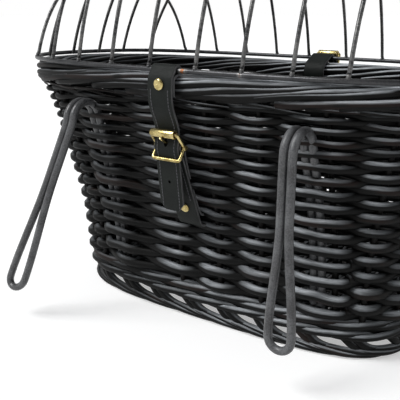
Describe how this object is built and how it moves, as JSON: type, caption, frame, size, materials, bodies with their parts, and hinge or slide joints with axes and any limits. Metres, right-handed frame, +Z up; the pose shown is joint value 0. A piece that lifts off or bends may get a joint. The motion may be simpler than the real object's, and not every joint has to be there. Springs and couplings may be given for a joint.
{
  "type": "bicycle basket",
  "caption": "Woven willow bicycle basket for a small pet, with a hinged wire dome, coated steel handlebar hooks and buckled leather straps.",
  "frame": {"origin": "on the surface that the basket stands on, under the middle of its overall box, hooks and buckles included", "axes": "+Z up, +X along the basket to the right as seen from the hook side, -Y towards the hook side"},
  "size_m": [0.43, 0.3494, 0.3954],
  "materials": {
    "willow": "lacquered, semi-gloss",
    "coated_steel": "thick matte coat over a steel rod",
    "black_wire": "semi-gloss black",
    "leather": "soft sheen",
    "brass": "polished, slightly aged"
  },
  "bodies": {
    "basket": {"woven_base": "willow", "foot_border": "willow", "foot_wale": "willow", "woven_wall": "willow", "rim_border": "willow", "left_hook": "coated_steel", "right_hook": "coated_steel", "buckle_strap": "leather", "buckle_rivet": "brass", "near_buckle_frame": "brass", "hinge_strap": "leather", "far_buckle_frame": "brass", "far_buckle_prong": "brass"},
    "dome": {"dome_ring": "black_wire", "cross_hoop_1": "black_wire", "cross_hoop_2": "black_wire", "cross_hoop_3": "black_wire", "cross_hoop_4": "black_wire", "cross_hoop_5": "black_wire", "cross_hoop_6": "black_wire", "cross_hoop_7": "black_wire", "cross_hoop_8": "black_wire", "cross_hoop_9": "black_wire", "cross_hoop_10": "black_wire", "length_hoop_1": "black_wire", "length_hoop_2": "black_wire", "length_hoop_3": "black_wire", "length_hoop_4": "black_wire", "length_hoop_5": "black_wire"},
    "closure": {"closure_strap": "leather", "closure_rivet": "brass"},
    "near_roller": {"near_buckle_roller": "brass"},
    "near_prong": {"near_buckle_prong": "brass"},
    "far_roller": {"far_buckle_roller": "brass"}
  },
  "joints": [
    {"name": "dome_hinge", "type": "hinge", "parent": "basket", "child": "dome", "pos_m": [-0.005, 0.15463, 0.218], "axis": [-1, 0, 0], "range_deg": [0, 100]},
    {"name": "closure_swing", "type": "hinge", "parent": "dome", "child": "closure", "pos_m": [-0.005, -0.12337, 0.23], "axis": [-1, 0, 0], "range_deg": [-100, 0], "deforming": ["closure_strap"]},
    {"name": "near_roller_spin", "type": "hinge", "parent": "basket", "child": "near_roller", "pos_m": [-0.005, -0.12785, 0.1785], "axis": [1, 0, 0], "continuous": true},
    {"name": "near_prong_swing", "type": "hinge", "parent": "basket", "child": "near_prong", "pos_m": [-0.005, -0.11885, 0.167], "axis": [1, 0, 0], "range_deg": [0, 60]},
    {"name": "far_roller_spin", "type": "hinge", "parent": "basket", "child": "far_roller", "pos_m": [-0.005, 0.16815, 0.22188], "axis": [1, 0, 0], "continuous": true}
  ],
  "couplings": [
    {"joint": "closure_swing", "follows": "dome_hinge", "ratio": -1}
  ]
}
